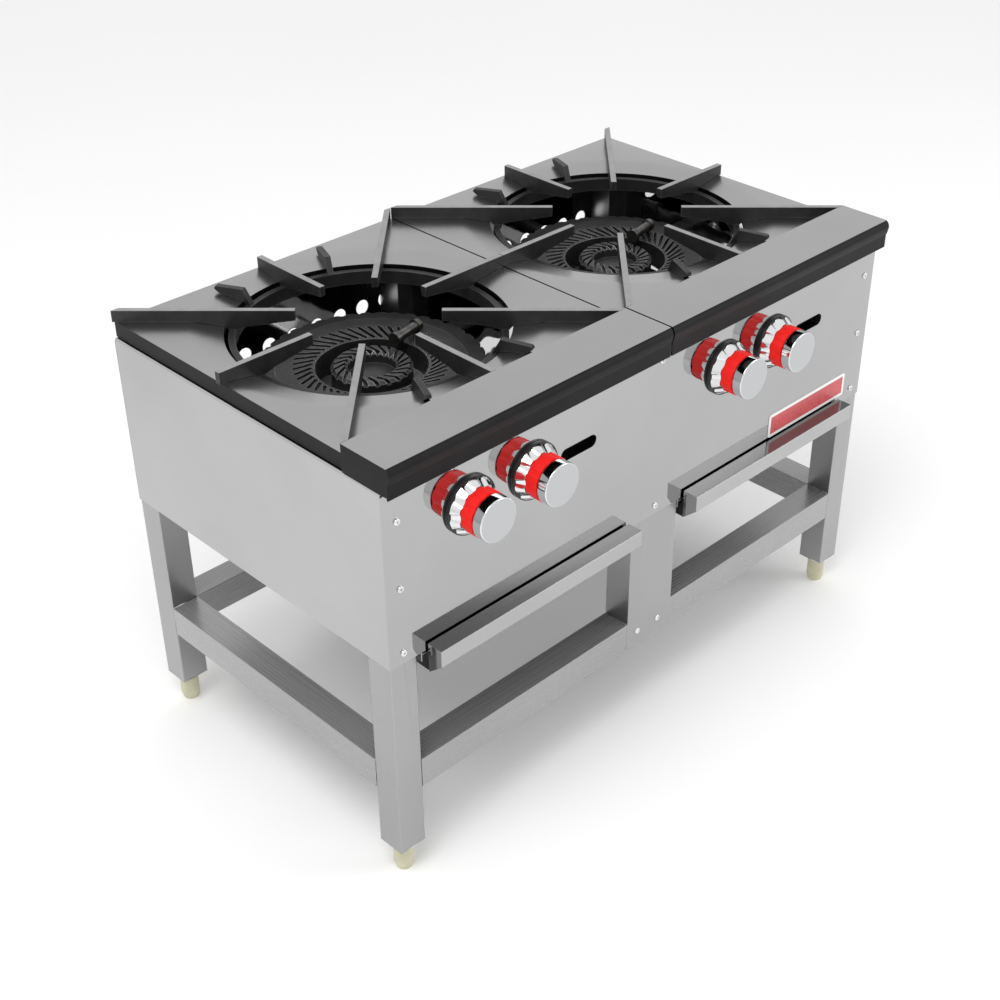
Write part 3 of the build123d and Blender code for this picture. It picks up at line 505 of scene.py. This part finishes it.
def label_finish():
    material, tree, shader = new_material("label enamel")
    centre, size = middle("label_plate"), extent("label_plate")
    where = add(tree, "ShaderNodeTexCoord").outputs["Object"]
    parts = add(tree, "ShaderNodeSeparateXYZ", {"Vector": where})
    inside = []
    for axis, at, reach in (("X", centre.x, size.x / 2), ("Z", centre.z, size.z / 2)):
        distance = maths(tree, "ABSOLUTE", maths(tree, "SUBTRACT", parts.outputs[axis], at))
        inside.append(maths(tree, "LESS_THAN", distance, reach - LABEL_MARGIN))
    field = maths(tree, "MULTIPLY", *inside)
    faded = blend_colours(tree, spread(tree, noise(tree, 50.0), 0, 1), (0.50, 0.045, 0.055), (0.62, 0.06, 0.07))
    join(tree, blend_colours(tree, field, (0.86, 0.86, 0.85), faded), shader, "Base Color")
    join(tree, spread(tree, noise(tree, 200.0), 0.25, 0.35), shader, "Roughness")
    shader.inputs["Coat Weight"].default_value = 0.3
    return material


label_enamel = label_finish()
print("label finish:", label_enamel.name)

# %% [markdown]
# ## Give each piece its finish
#
# The table names a finish for each family of pieces. Tubes take the grain that runs along them. The longest
# matching name wins, so a knob's band and stem don't take the chrome of the knob.

# %% Assign the finishes
finishes = {
    "leg": upright_steel,
    "post_middle": upright_steel,
    "post_rear": upright_steel,
    "rail_front": long_steel,
    "rail_rear": long_steel,
    "rail_left": deep_steel,
    "rail_right": deep_steel,
    "plate_frame": long_steel,
    "plate_pads": long_steel,
    "front_panel": front_steel,
    "back_panel": front_steel,
    "side_panel": side_steel,
    "divider_panel": inner_steel,
    "tray_handle": tray_steel,
    "drip_tray": enamel,
    "tray_runners": zinc,
    "air_shutter": zinc,
    "top_plate": plate_steel,
    "grate": grate_iron,
    "burner_ring": burner_iron,
    "burner_hub": burner_iron,
    "burner_bars": dark_paint,
    "mixer_tubes": burner_iron,
    "pilot_burner": pilot_metal,
    "pilot_tubes": tube_metal,
    "gas_manifold": pipe_paint,
    "gas_inlet": pipe_paint,
    "gas_valves": brass,
    "valve_stem": brass,
    "knob_bezels": black_ring,
    "knob_band": red_gloss,
    "knob": chrome,
    "panel_screws": screw_metal,
    "label_plate": label_enamel,
    "feet": nylon,
}
for name, node in nodes.items():
    node.data.materials.clear()
    node.data.materials.append(finishes[family_of(name, finishes)])
print("finished:", len(nodes), "pieces")

# %% [markdown]
# ## Floor
#
# The product stands on a plain pale floor that runs out to white. The camera looks down, so the floor fills the
# whole picture. A curved backdrop would do the same job, but a floor that is far larger than the view needs no
# curve and leaves the shadow as it falls.

# %% Floor
FLOOR_SIZE = 60
bpy.ops.mesh.primitive_plane_add(size=FLOOR_SIZE, location=(0, 0, 0))
floor = bpy.context.object
floor.name = "floor"
floor_material, floor_tree, floor_shader = new_material("pale floor")
floor_tone = blend_colours(floor_tree, spread(floor_tree, noise(floor_tree, 0.7), 0, 1), grey(0.94), grey(0.96))
join(floor_tree, floor_tone, floor_shader, "Base Color")
floor_shader.inputs["Roughness"].default_value = 0.9
floor_shader.inputs["Specular IOR Level"].default_value = 0.1
floor.data.materials.append(floor_material)
print("floor:", FLOOR_SIZE, "m square")

# %% [markdown]
# ## The dome around it
#
# The world is a plain soft dome, and most of what steel shows is a reflection of it. Seen directly, in a mirror or
# through glass it is white at a strength of one. As a light it is a little weaker, so that the lamps can shape
# the object. The Light Path node tells the two kinds of ray apart.

# %% World
DOME_LIGHT = 0.88
world = bpy.data.worlds.new("soft white dome")
bpy.context.scene.world = world
world.use_nodes = True
sky = world.node_tree
sky.nodes.clear()
ray = add(sky, "ShaderNodeLightPath").outputs
seen = maths(sky, "MAXIMUM", ray["Is Camera Ray"], ray["Is Glossy Ray"])
seen = maths(sky, "MAXIMUM", seen, ray["Is Transmission Ray"])
as_light = add(sky, "ShaderNodeBackground", {"Color": (1, 1, 1, 1), "Strength": DOME_LIGHT}).outputs[0]
as_seen = add(sky, "ShaderNodeBackground", {"Color": (1, 1, 1, 1), "Strength": 1.0}).outputs[0]
either = add(sky, "ShaderNodeMixShader", {0: seen, 1: as_light, 2: as_seen}).outputs[0]
add(sky, "ShaderNodeOutputWorld", {"Surface": either})
print("dome strength as a light:", DOME_LIGHT)

# %% [markdown]
# ## Lamps
#
# Two large, soft lamps shape the range: a key from above on the left and a weaker fill from the front right. Large
# lamps close to the object give broad highlights and soft shadows, as the light boxes of a product studio do.


# %% Lamps
def soft_lamp(name, at, target, size, power):
    light = bpy.data.lights.new(name, "AREA")
    light.shape = "DISK"
    light.size = size
    light.energy = power
    lamp = bpy.data.objects.new(name, light)
    bpy.context.scene.collection.objects.link(lamp)
    lamp.location = at
    lamp.rotation_euler = (Vector(target) - Vector(at)).to_track_quat("-Z", "Y").to_euler()
    print(name, "lamp:", size, "m across,", power, "W")
    return lamp


look_at = (cad_box[0] + cad_box[1]) / 2
soft_lamp("key", (-1.6, -0.6, 3.0), look_at, 1.8, 42)
soft_lamp("fill", (2.2, -2.4, 1.8), look_at, 1.6, 18)

# %% [markdown]
# ## Camera
#
# The camera stands where the photograph's did: to the left of the range and in front of it, well above the grates,
# looking down along the diagonal. Its place was worked out from the box's edges in the photograph. The
# small shift keeps the photograph's framing without turning the camera.

# %% Camera
CAMERA_AT = Vector((-1.3295, -1.3205, 1.4889))
YAW = 0.7862  # from +Y towards +X
PITCH = 0.5759  # downwards
LENS = 56.55
SENSOR = 36.0
SHIFT = (-0.0265, -0.011)

lens = bpy.data.cameras.new("camera")
lens.lens = LENS
lens.sensor_width = SENSOR
lens.shift_x, lens.shift_y = SHIFT
camera = bpy.data.objects.new("camera", lens)
bpy.context.scene.collection.objects.link(camera)
gaze = Vector((sin(YAW) * cos(PITCH), cos(YAW) * cos(PITCH), -sin(PITCH)))
camera.location = CAMERA_AT
camera.rotation_euler = gaze.to_track_quat("-Z", "Y").to_euler()
bpy.context.scene.camera = camera
bpy.context.scene.view_settings.view_transform = "Standard"
print("camera distance:", round((CAMERA_AT - look_at).length, 3), "m")
